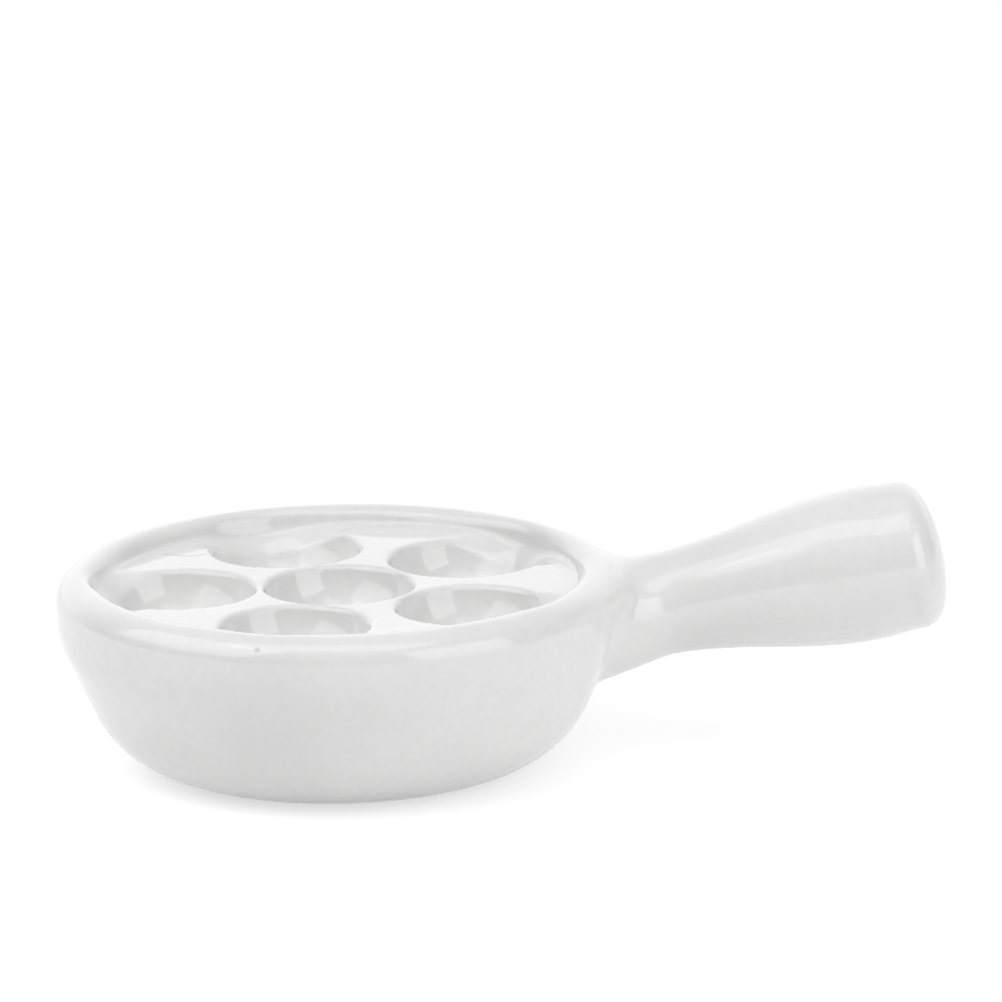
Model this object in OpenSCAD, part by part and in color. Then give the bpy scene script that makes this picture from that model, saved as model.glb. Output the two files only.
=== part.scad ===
// Escargot plate: one piece of glazed ceramic, a round bowl with six wells and a stick handle.
// Millimetres, +Z up. The origin is where the bowl's axis meets the table; the handle runs along +X.

/* [Bowl] */
// Height of the rim's crest above the table
bowl_h = 45.9; // [38:0.1:60]
// Drop from the rim's crest to the widest place, where the wall is upright
side_drop = 8.5; // [7:0.1:14]
// Radius of the round between the foot and the side wall
corner_r = 24.8; // [14:0.1:28]
// Radius of the soft bend where the wall turns upright under the rim
bend_r = 23.8; // [14:0.1:28]

/* [Rim] */
// Radius of the rim's outer round
rim_outer_r = 6.4; // [4:0.1:8]
// Radius of the rim's inner round
rim_inner_r = 3.6; // [2:0.1:5]
// Depth from the rim's crest down to the web
tray_depth = 3.9; // [2.5:0.1:8]
// Radius of the fillet where the rim meets the web
tray_fillet_r = 0.8; // [0.5:0.1:2]

/* [Foot] */
// Distance from the bowl's side in to the edge of the flat foot, seen from above
foot_inset = 30.6; // [26:0.1:36]
// Width of the foot ring
foot_w = 4.5; // [3:0.1:8]
// Depth of the recess inside the foot ring
foot_recess = 1.2; // [0.8:0.1:3]
// Lean of the recess's side from upright, in degrees
foot_lean = 40; // [20:1:60]

/* [Wells] */
// Number of wells round the centre one
ring_wells = 5; // [3:1:8]
// Inside diameter of a well at its throat
well_d = 34.6; // [26:0.2:40]
// Height of a well's straight throat, between its lip and its round cup
throat_h = 1; // [0.5:0.1:6]
// Radius of the rounded lip of a well
well_lip_r = 1.3; // [0.8:0.1:3]
// Flat of the web left between two neighbouring wells
web_w = 0.4; // [0.2:0.1:4]
// Flat of the web left between a ring well and the rim's fillet
edge_web_w = 0.1; // [0.1:0.1:6]

/* [Handle] */
// Length of the handle from the bowl's side to its tip
handle_l = 74.6; // [56:0.2:100]
// Upward tilt of the handle
handle_tilt = 9.9; // [4:0.1:13]
// Distance from the bowl's side to the handle's neck, its thinnest place
neck_out = 7.5; // [6:0.5:16]
// Height of the neck's top above the rim's crest
neck_rise = 0.95; // [0:0.05:2]
// Thickness of the neck
neck_d = 24.1; // [19:0.1:29]
// Distance from the tip back to the grip's fullest place
grip_back = 18.3; // [12:0.1:30]
// Thickness of the grip at its fullest
grip_d = 36.2; // [28:0.1:44]
// Thickness of the grip where its domed end begins
end_d = 35; // [26:0.1:44]
// Length of the domed end
dome_l = 8.1; // [6:0.1:16]
// Fullness of the domed end's upper half, where 2 is an ellipse and more is squarer
dome_power_up = 2.1; // [2:0.1:4]
// Fullness of the domed end's lower half
dome_power_down = 2.6; // [2:0.1:4]

/* [Handle root] */
// Nose radius of the flare at the handle's two sides
side_flare_r = 19; // [17:0.5:30]
// Length by which the side flare begins beyond the neck
side_flare_lead = 6.5; // [0:0.5:8]
// Nose radius of the flare under the handle
under_flare_r = 22; // [20:0.5:60]
// Length by which the lower flare begins beyond the neck
under_flare_lead = 2.4; // [0:0.1:4]
// Nose radius of the flare on top of the handle
top_flare_r = 75; // [70:5:300]
// Depth by which the root is buried in the bowl's wall
root_bury = 9; // [8:0.5:10]
// Lean of the root's buried end from upright, in degrees
root_lean = 24.3; // [20:0.1:28]
// Squareness of the root's section, where 2 is an ellipse
root_power = 2.25; // [2:0.05:2.6]

/* [Hidden] */
$fn = 180;

glaze = [0.94, 0.94, 0.93];

// Length by which a cut runs on past the surface that it opens
over = 20;
// The section's arcs cross each other and its straight lines by a hair, in place of only touching:
// their centres and ends are set off by lap, and each arc runs on by past degrees
lap = 0.002;
past = 4;
// Reach of a wedge's corners, in radii of its circle, which keeps them outside it
wedge_reach = 1.5;

// The lip's round stops short of level, so a well meets the web at a clean edge
lip_share = 0.96;
well_r = well_d / 2;
lip_drop = lip_share * well_lip_r;
lip_reach = well_lip_r - sqrt(pow(well_lip_r, 2) - pow(lip_drop, 2));
mouth_r = well_r + lip_reach;
// The ring wells clear the centre well and each other
ring_r = max(2 * mouth_r + web_w, (mouth_r + web_w / 2) / sin(180 / ring_wells));

// The inner round of the rim runs into its fillet, which meets the web
fillet_dip = max(rim_inner_r + tray_fillet_r - tray_depth - 2 * lap, 0);
fillet_gap = rim_inner_r + tray_fillet_r - lap;
rim_inner_end = 180 - asin(fillet_dip / fillet_gap);
rim_inner_w = sqrt(pow(fillet_gap, 2) - pow(fillet_dip, 2));

// The wells, the rim and the flats between them make up the bowl's radius
fillet_x = ring_r + mouth_r + edge_web_w;
bowl_r = fillet_x + rim_inner_w + rim_outer_r;
foot_r = bowl_r - foot_inset;
foot_inner_r = foot_r - foot_w;

// Centres of the arcs: the foot's corner, the wall's bend, and the rim's outer and inner round
corner_c = [foot_r, corner_r];
bend_c = [bowl_r - bend_r, bowl_h - side_drop];
rim_c = [bowl_r - rim_outer_r, bowl_h - rim_outer_r];
crest_c = [rim_c.x, bowl_h - rim_inner_r + lap];
// The straight wall touches the corner's arc and the bend's, which sets its lean from upright
centre_gap = bend_c - corner_c;
wall_lean = acos((corner_r - bend_r) / norm(centre_gap)) - atan2(centre_gap.y, centre_gap.x);
wall_start = corner_c + (corner_r - lap) * [cos(wall_lean), -sin(wall_lean)];
wall_end = bend_c + (bend_r - lap) * [cos(wall_lean), -sin(wall_lean)];
web_z = bowl_h - tray_depth;
fillet_c = [fillet_x, web_z + tray_fillet_r - lap];

// Ends of the handle's stretches, as distances from the bowl's axis, and how finely it is swept
root_x = bowl_r - root_bury;
neck_x = bowl_r + neck_out;
tip_x = bowl_r + handle_l;
grip_x = tip_x - grip_back;
dome_x = tip_x - dome_l;
section_points = 44;
root_rings = 10;
grip_rings = 13;
dome_rings = 10;
// Turn of the dome's last ring from its first, just short of the tip at 90 degrees
dome_turn = 88;

function ease(t) = (1 - cos(180 * min(max(t, 0), 1))) / 2;
function mix(a, b, t) = a + (b - a) * t;
function flare(d, nose_r) = pow(max(d, 0), 2) / (2 * nose_r);
function dome(x, power) = pow(max(1 - pow(max(x - dome_x, 0) / dome_l, power), 0), 1 / power);

// The handle's axis is straight
function axis_z(x) = bowl_h + neck_rise - neck_d / 2 + tan(handle_tilt) * (x - neck_x);

// A section stands square to the axis from the neck on, and leans as the wall does at the root
function root_share(x) = 1 - ease((x - root_x) / (neck_x - root_x));
function section_tilt(x) = mix(handle_tilt, -root_lean, root_share(x));
function section_power(x) = mix(2, root_power, root_share(x));

// Radius of the grip along the axis, before the domed end
function grip_r(x) = x < grip_x
    ? mix(neck_d, grip_d, ease((x - neck_x) / (grip_x - neck_x))) / 2
    : mix(grip_d, end_d, ease((x - grip_x) / (dome_x - grip_x))) / 2;

// Half sizes of the section: to the sides, up and down
function half_side(x) = (grip_r(x) + flare(neck_x + side_flare_lead - x, side_flare_r))
    * dome(x, (dome_power_up + dome_power_down) / 2);
function half_up(x) = (grip_r(x) + flare(neck_x - x, top_flare_r)) * dome(x, dome_power_up);
function half_down(x) = (grip_r(x) + flare(neck_x + under_flare_lead - x, under_flare_r))
    * dome(x, dome_power_down);

// One ring of points round the axis at x: a superellipse with its own upper and lower half
function curve(v, power) = sign(v) * pow(abs(v), 2 / power);
function section(x) = [
    for (i = [0 : section_points - 1])
        let (
            a = 360 * i / section_points,
            side = half_side(x) * curve(cos(a), section_power(x)),
            rise = (sin(a) > 0 ? half_up(x) : half_down(x)) * curve(sin(a), section_power(x)),
            tilt = section_tilt(x)
        )
        [x - rise * sin(tilt), side, axis_z(x) + rise * cos(tilt)]
];

// Stations close up towards the tip, where the dome turns in quickly
root_stations = [for (i = [0 : root_rings - 1]) mix(root_x, neck_x, i / root_rings)];
grip_stations = [for (i = [0 : grip_rings - 1]) mix(neck_x, dome_x, i / grip_rings)];
dome_stations = [
    for (i = [0 : dome_rings - 1])
        dome_x + dome_l * sin(dome_turn * i / (dome_rings - 1))
];
stations = concat(root_stations, grip_stations, dome_stations);

// A filled wedge of a circle, between two angles less than 180 degrees apart
module wedge(centre, r, from, to) {
    middle = (from + to) / 2;
    reach = wedge_reach * r / cos((to - from) / 4);
    translate(centre)
        intersection() {
            circle(r);
            polygon([
                [0, 0],
                reach * [cos(from), sin(from)],
                reach * [cos(middle), sin(middle)],
                reach * [cos(to), sin(to)]
            ]);
        }
}

// Half section of the bowl before the wells: foot, round corner, leaning wall, bend and rolled rim.
// The polygon runs along the chords of the arcs, and each wedge fills its arc out.
module bowl_section() {
    wedge(corner_c, corner_r, -90, past - wall_lean);
    wedge(bend_c, bend_r, -wall_lean - past, past);
    wedge(rim_c, rim_outer_r, -past, 90);
    wedge(crest_c, rim_inner_r, 90 - past, rim_inner_end + past);
    inward = [cos(rim_inner_end), sin(rim_inner_end)];
    round_foot = crest_c + (rim_inner_r - lap / 2) * inward;
    fillet_head = fillet_c - (tray_fillet_r - lap / 2) * inward;
    difference() {
        polygon(concat(
            [
                [0, 0],
                [foot_r, 0],
                wall_start,
                wall_end,
                [bowl_r - lap, bend_c.y],
                [bowl_r - lap, rim_c.y],
                [rim_c.x, bowl_h - lap]
            ],
            fillet_dip > 0 ? [round_foot] : [round_foot, fillet_head],
            [
                [fillet_x, web_z],
                [0, web_z]
            ]
        ));
        translate(fillet_c)
            circle(tray_fillet_r);
    }
}

// The revolve's seam lies opposite the handle
module bowl() {
    rotate([0, 0, 180])
        rotate_extrude()
            bowl_section();
}

// The foot ring's recess, with a leaning side
module foot_hollow() {
    top_r = foot_inner_r - foot_recess * tan(foot_lean);
    rotate_extrude()
        polygon([
            [0, -over],
            [foot_inner_r, -over],
            [foot_inner_r, 0],
            [top_r, foot_recess],
            [0, foot_recess]
        ]);
}

// The space of one well, with its mouth at z = 0: a round cup, a short throat and a rounded lip
module well_space() {
    cup_z = -lip_drop - throat_h;
    rotate_extrude() {
        wedge([0, cup_z], well_r, -90, 0);
        difference() {
            polygon([
                [0, cup_z],
                [well_r * cos(45), cup_z - well_r * sin(45)],
                [well_r, cup_z],
                [well_r, -lip_drop],
                [mouth_r, 0],
                [mouth_r, over],
                [0, over]
            ]);
            translate([well_r + well_lip_r, -lip_drop])
                circle(well_lip_r);
        }
    }
}

// The centre well, and the others round it with the handle between two of them
module wells() {
    translate([0, 0, web_z])
        well_space();
    for (i = [0 : ring_wells - 1])
        rotate([0, 0, (i + 0.5) * 360 / ring_wells])
            translate([ring_r, 0, web_z])
                well_space();
}

// The handle: sections swept along its axis, from the flared root to the domed tip
module handle() {
    rings = len(stations);
    tip = [tip_x, 0, axis_z(tip_x)];
    points = concat([for (x = stations) each section(x)], [tip]);
    n = section_points;
    root_face = [[for (i = [0 : n - 1]) i]];
    walls = [
        for (k = [0 : rings - 2], i = [0 : n - 1])
            let (j = (i + 1) % n, a = k * n, b = (k + 1) * n)
            each [[a + i, b + i, a + j], [a + j, b + i, b + j]]
    ];
    tip_faces = [
        for (i = [0 : n - 1])
            [(rings - 1) * n + i, rings * n, (rings - 1) * n + (i + 1) % n]
    ];
    polyhedron(points, concat(root_face, walls, tip_faces));
}

// The whole plate, one piece
module plate() {
    color(glaze) {
        difference() {
            bowl();
            wells();
            foot_hollow();
        }
        handle();
    }
}

plate();
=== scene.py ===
"""Escargot plate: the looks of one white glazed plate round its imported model.

The plate's form is one function, which gives the distance from its surface. A net of small quads is
laid on it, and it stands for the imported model's plain node.
"""

import math

import bpy
import numpy as np
from mathutils import Matrix, Vector


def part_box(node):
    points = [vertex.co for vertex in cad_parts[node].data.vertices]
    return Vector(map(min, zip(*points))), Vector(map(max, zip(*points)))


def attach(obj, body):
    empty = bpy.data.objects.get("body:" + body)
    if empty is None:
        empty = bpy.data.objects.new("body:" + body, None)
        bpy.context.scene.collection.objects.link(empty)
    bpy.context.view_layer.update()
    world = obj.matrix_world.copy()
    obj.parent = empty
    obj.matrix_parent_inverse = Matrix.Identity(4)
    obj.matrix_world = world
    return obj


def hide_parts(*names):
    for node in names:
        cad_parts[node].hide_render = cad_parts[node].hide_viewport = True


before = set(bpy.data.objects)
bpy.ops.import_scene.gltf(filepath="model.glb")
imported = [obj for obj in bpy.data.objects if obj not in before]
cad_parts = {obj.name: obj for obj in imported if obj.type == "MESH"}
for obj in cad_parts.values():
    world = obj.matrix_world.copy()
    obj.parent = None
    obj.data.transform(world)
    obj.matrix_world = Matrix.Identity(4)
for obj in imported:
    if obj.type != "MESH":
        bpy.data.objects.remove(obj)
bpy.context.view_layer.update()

MM = 0.001
plate_low, plate_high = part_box("plate")

# Bowl, in millimetres as in the plate's own construction
BOWL_R = plate_high.y / MM
BOWL_H = 45.9
SIDE_DROP = 8.5
CORNER_R = 24.8
BEND_R = 23.8
RIM_OUTER_R = 6.4
RIM_INNER_R = 3.6
TRAY_DEPTH = 3.9
TRAY_FILLET_R = 1.2
FOOT_INSET = 30.6
FOOT_W = 4.5
FOOT_RECESS = 1.2
FOOT_LEAN = math.radians(40)
FOOT_EDGE_R = 0.35

# Wells, each a bowl-shaped hollow whose sphere has its centre a little above the web
RING_WELLS = 5
WELL_R = 17.6
WELL_RISE = 2.4
WELL_LIP_R = 1.3
RING_R = 36.872
WEB_SOFTNESS = 0.9

# Towards the rim the lip widens until a well's wall runs straight into the rim's inside
OUTER_LIP_R = 6.5
OUTER_LIP_FROM = 46.0
OUTER_LIP_RUN = 8.0

# Handle
HANDLE_L = 74.6
HANDLE_TILT = math.radians(9.9)
TIP_X = BOWL_R + HANDLE_L
NECK_X = BOWL_R + 7.5
NECK_TOP = 0.95
NECK_R = 12.05
GRIP_X = TIP_X - 18.3
GRIP_R = 18.07
END_R = 17.47
DOME_L = 8.1
DOME_X = TIP_X - DOME_L
DOME_POWER = 2.35
DOME_POWER_SPREAD = 0.25
ROOT_X = BOWL_R - 9
ROOT_LEAN = math.radians(24.3)
ROOT_POWER = 2.25
GRIP_POWER = 2.0
SIDE_FLARE_R = 19
SIDE_FLARE_LEAD = 6.5
UNDER_FLARE_R = 22
UNDER_FLARE_LEAD = 2.4
TOP_FLARE_R = 120

# Fillet between handle and bowl: a fine crease on the wall, wide where the handle runs into the rim
CREASE_R = 0.9
SHOULDER_R = 5.6
SHOULDER_LOW = 33.0
SHOULDER_HIGH = 43.0
SHOULDER_X = BOWL_R - 8
SHOULDER_RUN = 6.0

# Unevenness: height in all, then the length, direction and start of each wave
WAVE_HEIGHT = 0.045
WAVES = (
    (23.0, (0.8, 0.5, 0.33), 0.4),
    (17.0, (-0.45, 0.7, 0.55), 1.9),
    (13.0, (0.3, -0.55, 0.78), 3.1),
    (29.0, (0.62, -0.3, -0.72), 5.0),
    (10.5, (-0.7, -0.6, 0.39), 2.2),
)

WEB_Z = BOWL_H - TRAY_DEPTH
FOOT_R = BOWL_R - FOOT_INSET
CORNER_C = np.array([FOOT_R, CORNER_R])
BEND_C = np.array([BOWL_R - BEND_R, BOWL_H - SIDE_DROP])
RIM_C = np.array([BOWL_R - RIM_OUTER_R, BOWL_H - RIM_OUTER_R])
CREST_C = np.array([RIM_C[0], BOWL_H - RIM_INNER_R])
CENTRE_GAP = BEND_C - CORNER_C
CENTRE_RISE = math.atan2(CENTRE_GAP[1], CENTRE_GAP[0])
WALL_LEAN = math.acos((CORNER_R - BEND_R) / math.hypot(*CENTRE_GAP)) - CENTRE_RISE
WELL_Z = WEB_Z + WELL_RISE
AXIS_Z = BOWL_H + NECK_TOP - NECK_R

# Net. Each round of settling moves a point most of the way to the middle of its neighbours, and then
# back to the surface.
NET_STEP = 1.0
NET_MARGIN = 2.0
SETTLE_ROUNDS = 4
SETTLE_SHARE = 0.6
RETURN_STEPS = 2
LONGEST_MOVE = 0.5
LEAST_SLOPE = 0.05
SLOPE_REACH = 0.02
SEARCH_MARGIN = 30.0
SEARCH_ROUNDS = 30
TINY = 1e-9

# Glaze. Each noise is given by about how many patches it has in a metre, and its layers of detail. Most
# of its values lie in the spread.
GLAZE_THIN = (0.77, 0.77, 0.765, 1)
GLAZE_THICK = (0.82, 0.82, 0.815, 1)
GLAZE_GRAIN = (0.72, 0.72, 0.715, 1)
GRAIN_SHARE = 0.3
GLAZE_GLOSS = (0.03, 0.07)
GLAZE_IOR = 1.55
NOISE_SPREAD = (0.3, 0.7)
THICKNESS_NOISE = (30.0, 2.0)
GRAIN_NOISE = (420.0, 4.0)
GRAIN_SPREAD = (0.45, 0.75)
GLOSS_NOISE = (75.0, 3.0)
SWELL_NOISE = (95.0, 1.0)
SWELL_HEIGHT = 0.00005
PEEL_NOISE = (420.0, 2.0)
PEEL_HEIGHT = 0.000008

# Two small dark marks. One is painted shade: a spot on the rim's front that stands for the dark corner of a
# lamp's reflection. The other is a thin wavy dark line on the web. Both also get a small dent. Their dark
# colour is also the dark speckle of the bare clay.
PAINTED_SPOT_LINE_AND_SPECKLE_COLOUR = (0.4, 0.39, 0.38, 1)
DARK_MARK_SHARE = 0.6
DARK_MARK_DEPTH = 0.00015
PAINTED_SPOT = (-0.0203, -0.0613, 0.0432)
PAINTED_SPOT_R = 0.0008
PAINTED_SPOT_CORE = 0.2
LINE_START = -0.0406
LINE_END = -0.0303
LINE_FLOOR = 0.04
LINE_Y = 0.0312
LINE_HALF = 0.00035
LINE_CORE = 0.3
LINE_WAVE_TURNS = 413.0
LINE_WAVE_HEIGHT = 0.0014

# Bare clay. The foot ring stood on the kiln's shelf, so its lowest part is wiped bare.
BARE_CLAY = (0.68, 0.63, 0.56, 1)
BARE_ROUGHNESS = 0.75
BARE_LOW = 0.0007
BARE_HIGH = 0.0009
BARE_EDGE_NOISE = (120.0, 2.0)
BARE_EDGE_SWAY = 0.0005
SPECKLE_NOISE = (1500.0, 2.0)
SPECKLE_SPREAD = (0.35, 0.65)
SPECKLE_LEAST = 0.8

# Floor. The camera and reflections see a darker floor with a lift, so its shadows are faint for them.
FLOOR_HALF = 4.0
FLOOR_COLOUR = (0.95, 0.95, 0.95, 1)
SEEN_FLOOR_COLOUR = (0.5, 0.5, 0.5, 1)
FLOOR_LIFT = 0.65

# Light. The studio is bright behind the plate and dim on the camera's side. Seen as a ball of radius 1
# round the plate, each pair says from which depth or height to which one brightness gives way to the next.
WHITE = (1, 1, 1, 1)
BACKDROP_LIGHT = 1.25
SKY_LIGHT = 0.7
FRONT_LIGHT = 0.6
FRONT_LOW_LIGHT = 0.04
BACKDROP_EDGE = (0.35, 0.9)
BACKDROP_TOP = (0.4, 0.9)
FRONT_TOP = (0.3, 0.85)
LAMP_DISTANCE = 1.2
LAMP_AIM = Vector((0.03, 0, 0.03))

# Camera, fitted to the photograph's outlines
CAMERA_DIP = math.radians(14.37)
CAMERA_TURN = math.radians(2.36)
CAMERA_ROLL = math.radians(-1.04)
CAMERA_DISTANCE = 2.440602
CAMERA_RIGHT = 0.036888
CAMERA_UP = 0.059985
CAMERA_FAR = 50
FOCAL_LENGTH = 375.86
SENSOR_WIDTH = 36.0


def smooth(share):
    share = np.clip(share, 0, 1)
    return share * share * (3 - 2 * share)


def ease(share):
    return (1 - np.cos(np.pi * np.clip(share, 0, 1))) / 2


def mix(start, end, share):
    return start + (end - start) * share


def round_union(first, second, radius):
    """Two solids joined with a concave fillet."""
    corner = np.hypot(np.maximum(radius - first, 0), np.maximum(radius - second, 0))
    return np.maximum(radius, np.minimum(first, second)) - corner


def round_cut(first, second, radius):
    """The space common to two solids, with its edge rounded."""
    corner = np.hypot(np.maximum(radius + first, 0), np.maximum(radius + second, 0))
    return np.minimum(-radius, np.maximum(first, second)) + corner


def soft_min(first, second, softness):
    overlap = np.maximum(softness - np.abs(first - second), 0) / softness
    return np.minimum(first, second) - overlap * overlap * softness / 4


def outer_side(rho, z):
    """Distance from the bowl's outer side and underside, below zero inside."""
    along = (math.sin(WALL_LEAN), math.cos(WALL_LEAN))
    out = (math.cos(WALL_LEAN), -math.sin(WALL_LEAN))
    bend_x, bend_z = rho - BEND_C[0], z - BEND_C[1]
    corner_x, corner_z = rho - CORNER_C[0], z - CORNER_C[1]
    wall = corner_x * out[0] + corner_z * out[1] - CORNER_R
    rim = np.hypot(np.maximum(rho - RIM_C[0], 0), z - RIM_C[1]) - RIM_OUTER_R
    return np.select(
        [
            z > RIM_C[1],
            z > BEND_C[1],
            bend_x * along[0] + bend_z * along[1] > 0,
            corner_x * along[0] + corner_z * along[1] > 0,
            rho > FOOT_R,
        ],
        [
            np.where(rho > RIM_C[0], rim, rho - BOWL_R),
            rho - BOWL_R,
            np.hypot(bend_x, bend_z) - BEND_R,
            wall,
            np.hypot(corner_x, corner_z) - CORNER_R,
        ],
        -z,
    )


def tray_side(rho, z):
    """Distance from the web and the rim's inner round, below zero inside."""
    rim = np.hypot(rho - CREST_C[0], z - CREST_C[1]) - RIM_INNER_R
    inner = round_union(z - WEB_Z, rim, TRAY_FILLET_R)
    return np.where(rho < RIM_C[0], inner, -RIM_OUTER_R)


def well_centres():
    yield 0.0, 0.0
    for i in range(RING_WELLS):
        turn = 2 * math.pi * (i + 0.5) / RING_WELLS
        yield RING_R * math.cos(turn), RING_R * math.sin(turn)


def well_spaces(x, y, z):
    """Distance from the wells' walls, below zero in the open wells."""
    spaces = None
    for centre_x, centre_y in well_centres():
        depth = np.minimum(z - WELL_Z, 0)
        space = np.sqrt((x - centre_x) ** 2 + (y - centre_y) ** 2 + depth**2) - WELL_R
        spaces = space if spaces is None else soft_min(spaces, space, WEB_SOFTNESS)
    return spaces


def foot_space(rho, z):
    """Distance from the recess inside the foot ring, below zero in the recess."""
    side = (rho - (FOOT_R - FOOT_W - z * math.tan(FOOT_LEAN))) * math.cos(FOOT_LEAN)
    return np.maximum(z - FOOT_RECESS, side)


def bowl(x, y, z):
    """Distance from the bowl's surface, below zero inside."""
    rho = np.hypot(x, y)
    body = np.maximum(outer_side(rho, z), tray_side(rho, z))
    lip = mix(WELL_LIP_R, OUTER_LIP_R, smooth((rho - OUTER_LIP_FROM) / OUTER_LIP_RUN))
    body = round_cut(body, -well_spaces(x, y, z), lip)
    return round_cut(body, -foot_space(rho, z), FOOT_EDGE_R)


def axis_z(x):
    return AXIS_Z + math.tan(HANDLE_TILT) * (x - NECK_X)


def root_share(x):
    return 1 - ease((x - ROOT_X) / (NECK_X - ROOT_X))


def section_tilt(x):
    return mix(HANDLE_TILT, -ROOT_LEAN, root_share(x))


def station(x, z):
    """Where along the handle the section through a point stands, and how high the point is in it."""
    low = np.full(np.broadcast(x, z).shape, ROOT_X - SEARCH_MARGIN)
    high = np.full(low.shape, TIP_X + SEARCH_MARGIN)
    for _ in range(SEARCH_ROUNDS):
        middle = (low + high) / 2
        tilt = section_tilt(middle)
        beyond = (x - middle) * np.cos(tilt) + (z - axis_z(middle)) * np.sin(tilt) > 0
        low = np.where(beyond, middle, low)
        high = np.where(beyond, high, middle)
    tilt = section_tilt(low)
    return low, (z - axis_z(low)) * np.cos(tilt) - (x - low) * np.sin(tilt)


def flare(distance, nose_r):
    return np.maximum(distance, 0) ** 2 / (2 * nose_r)


def grip_radius(x):
    to_grip = mix(NECK_R, GRIP_R, ease((x - NECK_X) / (GRIP_X - NECK_X)))
    to_end = mix(GRIP_R, END_R, ease((x - GRIP_X) / (DOME_X - GRIP_X)))
    return np.where(x < GRIP_X, to_grip, to_end)


def handle(x, y, z):
    """About the distance from the handle, below zero inside."""
    found, rise = station(x, z)
    at = np.maximum(found, ROOT_X)
    grip = grip_radius(at)
    half_side = grip + flare(NECK_X + SIDE_FLARE_LEAD - at, SIDE_FLARE_R)
    half_up = grip + flare(NECK_X - at, TOP_FLARE_R)
    half_down = grip + flare(NECK_X + UNDER_FLARE_LEAD - at, UNDER_FLARE_R)
    half_rise = np.where(rise > 0, half_up, half_down)
    power = mix(GRIP_POWER, ROOT_POWER, root_share(at))
    full = (np.abs(y / half_side) ** power + np.abs(rise / half_rise) ** power) ** (1 / power)
    reach = np.maximum(at - DOME_X, 0)
    across = np.hypot(y, rise) + TINY
    dome = DOME_POWER - DOME_POWER_SPREAD * rise / across
    share = (full**dome + (reach / DOME_L) ** dome) ** (1 / dome) + TINY
    return np.maximum(np.hypot(across, reach) * (1 - 1 / share), ROOT_X - found)


def waves(x, y, z):
    """Faint unevenness of cast clay and glaze. It only takes away, so the plate stays inside its box."""
    total = 0
    for wave, (along_x, along_y, along_z), start in WAVES:
        total = total + np.sin((along_x * x + along_y * y + along_z * z) * 2 * math.pi / wave + start)
    return WAVE_HEIGHT * (1 + total / len(WAVES))


def plate(x, y, z):
    """The whole plate: about the distance from its surface, below zero inside."""
    high_up = smooth((z - SHOULDER_LOW) / (SHOULDER_HIGH - SHOULDER_LOW))
    far_out = smooth((x - SHOULDER_X) / SHOULDER_RUN)
    fillet = mix(CREASE_R, SHOULDER_R, high_up * far_out)
    return round_union(bowl(x, y, z), handle(x, y, z), fillet) + waves(x, y, z)


def gradient(points):
    slopes = np.empty_like(points)
    for axis in range(3):
        reach = np.zeros(3)
        reach[axis] = SLOPE_REACH
        slopes[:, axis] = (plate(*(points + reach).T) - plate(*(points - reach).T)) / (2 * SLOPE_REACH)
    return slopes


def surface_net(low, high, step):
    """Points and quads round the plate's surface.

    They lie on a grid, with one point in each cell that the surface crosses.
    """
    counts = [int(math.ceil((end - start) / step)) + 1 for start, end in zip(low, high)]
    grid = [start + step * np.arange(count) for start, count in zip(low, counts)]
    field = plate(grid[0][:, None, None], grid[1][None, :, None], grid[2][None, None, :])
    inside = field < 0
    cells = tuple(count - 1 for count in counts)
    total = np.zeros(cells + (3,))
    hits = np.zeros(cells)
    crossings = []
    for axis in range(3):
        near = tuple(slice(0, -1) if other == axis else slice(None) for other in range(3))
        far = tuple(slice(1, None) if other == axis else slice(None) for other in range(3))
        crossed = inside[near] != inside[far]
        share = np.where(crossed, field[near] / np.where(crossed, field[near] - field[far], 1), 0)
        crossings.append((crossed, inside[near]))
        first, second = (other for other in range(3) if other != axis)
        for first_side in (0, 1):
            for second_side in (0, 1):
                pick = [slice(None)] * 3
                pick[first] = slice(first_side, cells[first] + first_side)
                pick[second] = slice(second_side, cells[second] + second_side)
                edge = crossed[tuple(pick)]
                total[..., axis] += np.where(edge, share[tuple(pick)], 0)
                total[..., first] += np.where(edge, first_side, 0)
                total[..., second] += np.where(edge, second_side, 0)
                hits += edge
    used = hits > 0
    index = np.full(cells, -1)
    index[used] = np.arange(used.sum())
    place = np.argwhere(used) + total[used] / hits[used][:, None]
    quads = [net_quads(index, axis, *crossing) for axis, crossing in enumerate(crossings)]
    return np.array(low) + step * place, np.concatenate(quads)


def net_quads(index, axis, crossed, starts_inside):
    """The quads that the grid's edges along one axis go through, facing out."""
    first, second = (axis + 1) % 3, (axis + 2) % 3
    pick = [slice(1, -1)] * 3
    pick[axis] = slice(None)
    edges = np.argwhere(crossed[tuple(pick)])
    edges[:, [first, second]] += 1
    corners = []
    for first_step, second_step in ((-1, -1), (0, -1), (0, 0), (-1, 0)):
        cell = edges.copy()
        cell[:, first] += first_step
        cell[:, second] += second_step
        corners.append(index[tuple(cell.T)])
    quads = np.stack(corners, 1)
    turned = ~starts_inside[tuple(edges.T)]
    quads[turned] = quads[turned][:, ::-1]
    return quads


def settle(points, quads):
    """Evens the net out along the surface and puts its points on it."""
    ends = np.concatenate([quads[:, [side, (side + 1) % 4]] for side in range(4)])
    ends = np.unique(np.sort(ends, 1), axis=0)
    starts = np.concatenate([ends[:, 0], ends[:, 1]])
    stops = np.concatenate([ends[:, 1], ends[:, 0]])
    degree = np.bincount(starts, minlength=len(points))[:, None]
    for _ in range(SETTLE_ROUNDS):
        sums = [np.bincount(starts, points[stops, axis], len(points)) for axis in range(3)]
        points = points + SETTLE_SHARE * (np.stack(sums, 1) / degree - points)
        for _ in range(RETURN_STEPS):
            slope = gradient(points)
            steepness = np.maximum((slope**2).sum(1, keepdims=True), LEAST_SLOPE)
            move = np.clip(plate(*points.T)[:, None] / steepness, -LONGEST_MOVE, LONGEST_MOVE)
            points = points - move * slope
    return points


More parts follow.
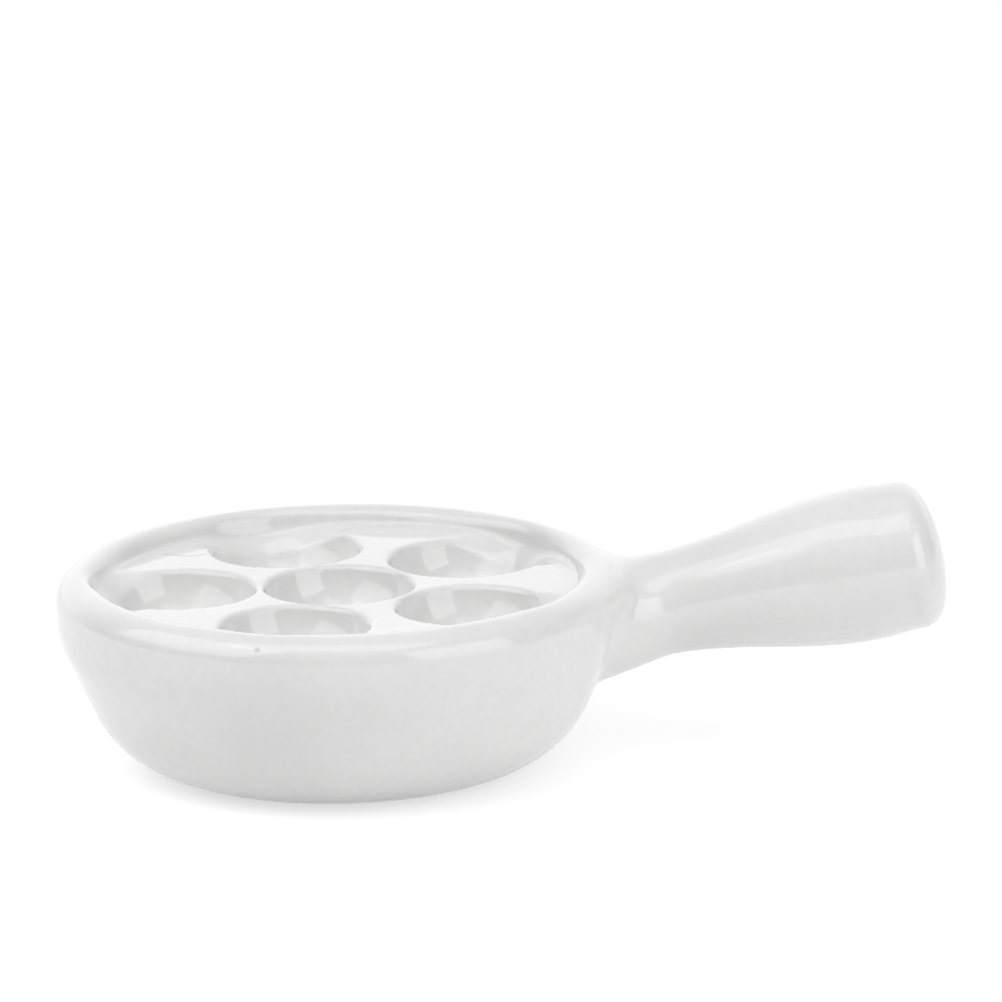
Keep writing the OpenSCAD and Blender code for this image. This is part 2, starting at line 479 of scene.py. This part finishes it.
def make_plate():
    """The plate's mesh, in metres, with the form's own normals."""
    low = [place / MM - NET_MARGIN for place in plate_low]
    high = [place / MM + NET_MARGIN for place in plate_high]
    points, quads = surface_net(low, high, NET_STEP)
    points = settle(points, quads)
    normals = gradient(points)
    normals /= np.linalg.norm(normals, axis=1, keepdims=True)
    mesh = bpy.data.meshes.new("glazed_plate")
    mesh.from_pydata((points * MM).tolist(), [], quads.tolist())
    mesh.polygons.foreach_set("use_smooth", [True] * len(mesh.polygons))
    mesh.normals_split_custom_set_from_vertices(normals.tolist())
    mesh.update()
    piece = bpy.data.objects.new("glazed_plate", mesh)
    bpy.context.scene.collection.objects.link(piece)
    return piece


class Nodes:
    """The few kinds of node that the materials and the world need, joined by name.

    Wherever a method takes a value, it may be a number or colour, or another node's output.
    """

    def __init__(self, holder):
        holder.use_nodes = True
        self.tree = holder.node_tree
        self.tree.nodes.clear()

    def fill(self, socket, value):
        if isinstance(value, bpy.types.NodeSocket):
            self.tree.links.new(value, socket)
        else:
            socket.default_value = value

    def add(self, kind, **inputs):
        node = self.tree.nodes.new(kind)
        for name, value in inputs.items():
            self.fill(node.inputs[name.replace("_", " ")], value)
        return node

    def noise(self, place, patches, detail):
        """Smooth random values round one half, from a fixed start."""
        return self.add("ShaderNodeTexNoise", Vector=place, Scale=patches, Detail=detail).outputs["Fac"]

    def remap(self, value, edges, results, interpolation="LINEAR"):
        """Turns the stretch between the edges into the stretch between the results, and holds its ends."""
        node = self.add("ShaderNodeMapRange", Value=value)
        node.interpolation_type = interpolation
        for name, number in zip(("From Min", "From Max", "To Min", "To Max"), (*edges, *results)):
            node.inputs[name].default_value = number
        return node.outputs["Result"]

    def calculate(self, operation, first, second=0.0):
        node = self.add("ShaderNodeMath")
        node.operation = operation
        self.fill(node.inputs[0], first)
        self.fill(node.inputs[1], second)
        return node.outputs["Value"]

    def distance(self, place, centre):
        node = self.add("ShaderNodeVectorMath")
        node.operation = "DISTANCE"
        self.fill(node.inputs[0], place)
        self.fill(node.inputs[1], centre)
        return node.outputs["Value"]

    def blend(self, share, start, end, kind="Color"):
        """Start where the share is 0 and end where it is 1. The kind is Color or Float."""
        node = self.add("ShaderNodeMix")
        node.data_type = {"Color": "RGBA", "Float": "FLOAT"}[kind]
        inputs = {socket.identifier: socket for socket in node.inputs}
        outputs = {socket.identifier: socket for socket in node.outputs}
        self.fill(inputs["Factor_Float"], share)
        self.fill(inputs["A_" + kind], start)
        self.fill(inputs["B_" + kind], end)
        return outputs["Result_" + kind]

    def bump(self, height, distance, **normal):
        node = self.add("ShaderNodeBump", Height=height, Distance=distance, Strength=1.0, **normal)
        return node.outputs["Normal"]

    def blend_shaders(self, share, start, end):
        node = self.add("ShaderNodeMixShader", Fac=share)
        self.fill(node.inputs[1], start)
        self.fill(node.inputs[2], end)
        return node.outputs["Shader"]

    def add_shaders(self, first, second):
        node = self.add("ShaderNodeAddShader")
        self.fill(node.inputs[0], first)
        self.fill(node.inputs[1], second)
        return node.outputs["Shader"]


def dark_mark_mask(nodes, place, axes):
    """How strongly the painted shade spot on the rim and the wavy dark line on the web show at each place,
    from 0 to 1.
    """
    # The spot is painted shade. It stands for the dark corner of a lamp's reflection on the rim.
    from_painted_spot = nodes.distance(place, PAINTED_SPOT)
    painted_spot = nodes.remap(from_painted_spot, (PAINTED_SPOT_R * PAINTED_SPOT_CORE, PAINTED_SPOT_R), (DARK_MARK_SHARE, 0.0))
    turn = nodes.calculate("MULTIPLY", axes["X"], LINE_WAVE_TURNS)
    wave = nodes.calculate("MULTIPLY", nodes.calculate("SINE", turn), LINE_WAVE_HEIGHT)
    aside = nodes.calculate("SUBTRACT", nodes.calculate("SUBTRACT", axes["Y"], LINE_Y), wave)
    off_line = nodes.calculate("ABSOLUTE", aside)
    line = nodes.remap(off_line, (LINE_HALF * LINE_CORE, LINE_HALF), (1.0, 0.0))
    for operation, axis, limit in (
        ("GREATER_THAN", "X", LINE_START),
        ("LESS_THAN", "X", LINE_END),
        ("GREATER_THAN", "Z", LINE_FLOOR),
    ):
        line = nodes.calculate("MULTIPLY", line, nodes.calculate(operation, axes[axis], limit))
    return nodes.calculate("MAXIMUM", painted_spot, nodes.calculate("MULTIPLY", line, DARK_MARK_SHARE))


def bare_mask(nodes, place, axes):
    """One on the foot ring's lowest part, with an uneven edge, and zero above it."""
    sway = nodes.calculate("MULTIPLY", nodes.noise(place, *BARE_EDGE_NOISE), BARE_EDGE_SWAY)
    return nodes.remap(nodes.calculate("ADD", axes["Z"], sway), (BARE_LOW, BARE_HIGH), (1.0, 0.0))


def glaze_material():
    """White glaze: glossy, slightly uneven in thickness and gloss, and left off under the foot."""
    material = bpy.data.materials.new("white_glaze")
    nodes = Nodes(material)
    place = nodes.add("ShaderNodeTexCoord").outputs["Object"]
    axes = nodes.add("ShaderNodeSeparateXYZ", Vector=place).outputs
    dark_mark = dark_mark_mask(nodes, place, axes)
    bare = bare_mask(nodes, place, axes)

    thickness = nodes.remap(nodes.noise(place, *THICKNESS_NOISE), NOISE_SPREAD, (0.0, 1.0))
    grain = nodes.remap(nodes.noise(place, *GRAIN_NOISE), GRAIN_SPREAD, (0.0, GRAIN_SHARE))
    glaze = nodes.blend(grain, nodes.blend(thickness, GLAZE_THIN, GLAZE_THICK), GLAZE_GRAIN)
    # Painted shade: the rim's spot, darkened here, stands for the dark corner of a lamp's reflection. The
    # wavy line on the web is darkened in the same step.
    glaze = nodes.blend(dark_mark, glaze, PAINTED_SPOT_LINE_AND_SPECKLE_COLOUR)
    speckle = nodes.remap(nodes.noise(place, *SPECKLE_NOISE), SPECKLE_SPREAD, (SPECKLE_LEAST, 1.0))
    clay = nodes.blend(speckle, PAINTED_SPOT_LINE_AND_SPECKLE_COLOUR, BARE_CLAY)
    gloss = nodes.remap(nodes.noise(place, *GLOSS_NOISE), NOISE_SPREAD, GLAZE_GLOSS)
    roughness = nodes.calculate("MAXIMUM", gloss, nodes.calculate("MULTIPLY", bare, BARE_ROUGHNESS))

    swell = nodes.bump(nodes.noise(place, *SWELL_NOISE), SWELL_HEIGHT)
    peel = nodes.bump(nodes.noise(place, *PEEL_NOISE), PEEL_HEIGHT, Normal=swell)
    dent = nodes.bump(nodes.calculate("SUBTRACT", 1.0, dark_mark), DARK_MARK_DEPTH, Normal=peel)
    colour = nodes.blend(bare, glaze, clay)
    shader = nodes.add(
        "ShaderNodeBsdfPrincipled", Base_Color=colour, Roughness=roughness, IOR=GLAZE_IOR, Normal=dent
    )
    nodes.add("ShaderNodeOutputMaterial", Surface=shader.outputs["BSDF"])
    return material


def floor_material():
    """Pale floor that keeps the plate's shadow. It is clear from below, so it hides no view of the foot."""
    material = bpy.data.materials.new("pale_floor")
    nodes = Nodes(material)
    plain = nodes.add("ShaderNodeBsdfDiffuse", Color=FLOOR_COLOUR).outputs["BSDF"]
    seen = nodes.add("ShaderNodeBsdfDiffuse", Color=SEEN_FLOOR_COLOUR).outputs["BSDF"]
    lift = nodes.add("ShaderNodeEmission", Strength=FLOOR_LIFT).outputs["Emission"]
    rays = nodes.add("ShaderNodeLightPath").outputs
    lifted = nodes.calculate("MAXIMUM", rays["Is Camera Ray"], rays["Is Glossy Ray"])
    from_above = nodes.blend_shaders(lifted, plain, nodes.add_shaders(seen, lift))
    clear = nodes.add("ShaderNodeBsdfTransparent").outputs["BSDF"]
    below = nodes.add("ShaderNodeNewGeometry").outputs["Backfacing"]
    nodes.add("ShaderNodeOutputMaterial", Surface=nodes.blend_shaders(below, from_above, clear))
    return material


def make_floor():
    corners = [(x * FLOOR_HALF, y * FLOOR_HALF, 0) for x, y in ((-1, -1), (1, -1), (1, 1), (-1, 1))]
    mesh = bpy.data.meshes.new("floor")
    mesh.from_pydata(corners, [], [(0, 1, 2, 3)])
    floor = bpy.data.objects.new("floor", mesh)
    bpy.context.scene.collection.objects.link(floor)
    floor.data.materials.append(floor_material())


def make_world():
    """Studio light from all round. The camera itself sees plain white."""
    world = bpy.data.worlds.new("studio")
    bpy.context.scene.world = world
    nodes = Nodes(world)
    direction = nodes.add("ShaderNodeTexCoord").outputs["Generated"]
    axes = nodes.add("ShaderNodeSeparateXYZ", Vector=direction).outputs
    behind = nodes.remap(axes["Y"], BACKDROP_EDGE, (0.0, 1.0), "SMOOTHSTEP")
    front_light = nodes.remap(axes["Z"], FRONT_TOP, (FRONT_LOW_LIGHT, FRONT_LIGHT), "SMOOTHSTEP")
    back_light = nodes.remap(axes["Z"], BACKDROP_TOP, (BACKDROP_LIGHT, SKY_LIGHT), "SMOOTHSTEP")
    strength = nodes.blend(behind, front_light, back_light, "Float")
    light = nodes.add("ShaderNodeBackground", Color=WHITE, Strength=strength).outputs["Background"]
    white = nodes.add("ShaderNodeBackground", Color=WHITE, Strength=1.0).outputs["Background"]
    camera_ray = nodes.add("ShaderNodeLightPath").outputs["Is Camera Ray"]
    nodes.add("ShaderNodeOutputWorld", Surface=nodes.blend_shaders(camera_ray, light, white))


def add_lamp(name, turn, rise, width, height, radiance):
    """A soft box that faces the plate, of even brightness all over.

    It is turned from straight behind the plate towards its right. All four angles are in degrees.
    """
    turn, rise = math.radians(turn), math.radians(rise)
    width, height = (2 * LAMP_DISTANCE * math.tan(math.radians(angle / 2)) for angle in (width, height))
    towards = Vector((math.sin(turn) * math.cos(rise), math.cos(turn) * math.cos(rise), math.sin(rise)))
    data = bpy.data.lights.new(name, "AREA")
    data.shape = "RECTANGLE"
    data.size = width
    data.size_y = height
    data.energy = radiance * math.pi * width * height
    lamp = bpy.data.objects.new(name, data)
    bpy.context.scene.collection.objects.link(lamp)
    lamp.location = LAMP_AIM + towards * LAMP_DISTANCE
    lamp.rotation_euler = towards.to_track_quat("Z", "Y").to_euler()


def make_camera():
    forward = Vector(
        (
            math.sin(CAMERA_TURN) * math.cos(CAMERA_DIP),
            math.cos(CAMERA_TURN) * math.cos(CAMERA_DIP),
            -math.sin(CAMERA_DIP),
        )
    )
    level = forward.cross(Vector((0, 0, 1))).normalized()
    upright = level.cross(forward)
    right = level * math.cos(CAMERA_ROLL) + upright * math.sin(CAMERA_ROLL)
    up = upright * math.cos(CAMERA_ROLL) - level * math.sin(CAMERA_ROLL)
    data = bpy.data.cameras.new("camera")
    data.sensor_fit = "HORIZONTAL"
    data.sensor_width = SENSOR_WIDTH
    data.lens = FOCAL_LENGTH
    data.clip_end = CAMERA_FAR
    camera = bpy.data.objects.new("camera", data)
    bpy.context.scene.collection.objects.link(camera)
    camera.matrix_world = Matrix((right, up, -forward)).transposed().to_4x4()
    camera.location = right * CAMERA_RIGHT + up * CAMERA_UP - forward * CAMERA_DISTANCE
    bpy.context.scene.camera = camera


make_camera()
make_world()
make_floor()
add_lamp("left_box", turn=-106, rise=41, width=60, height=40, radiance=1.55)
add_lamp("right_box", turn=131, rise=20, width=42, height=40, radiance=2.1)
add_lamp("front_box", turn=-165, rise=70, width=56, height=26, radiance=1.4)
bpy.context.scene.view_settings.view_transform = "Standard"

plate_piece = make_plate()
plate_piece.data.materials.append(glaze_material())
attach(plate_piece, "root")
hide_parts("plate")
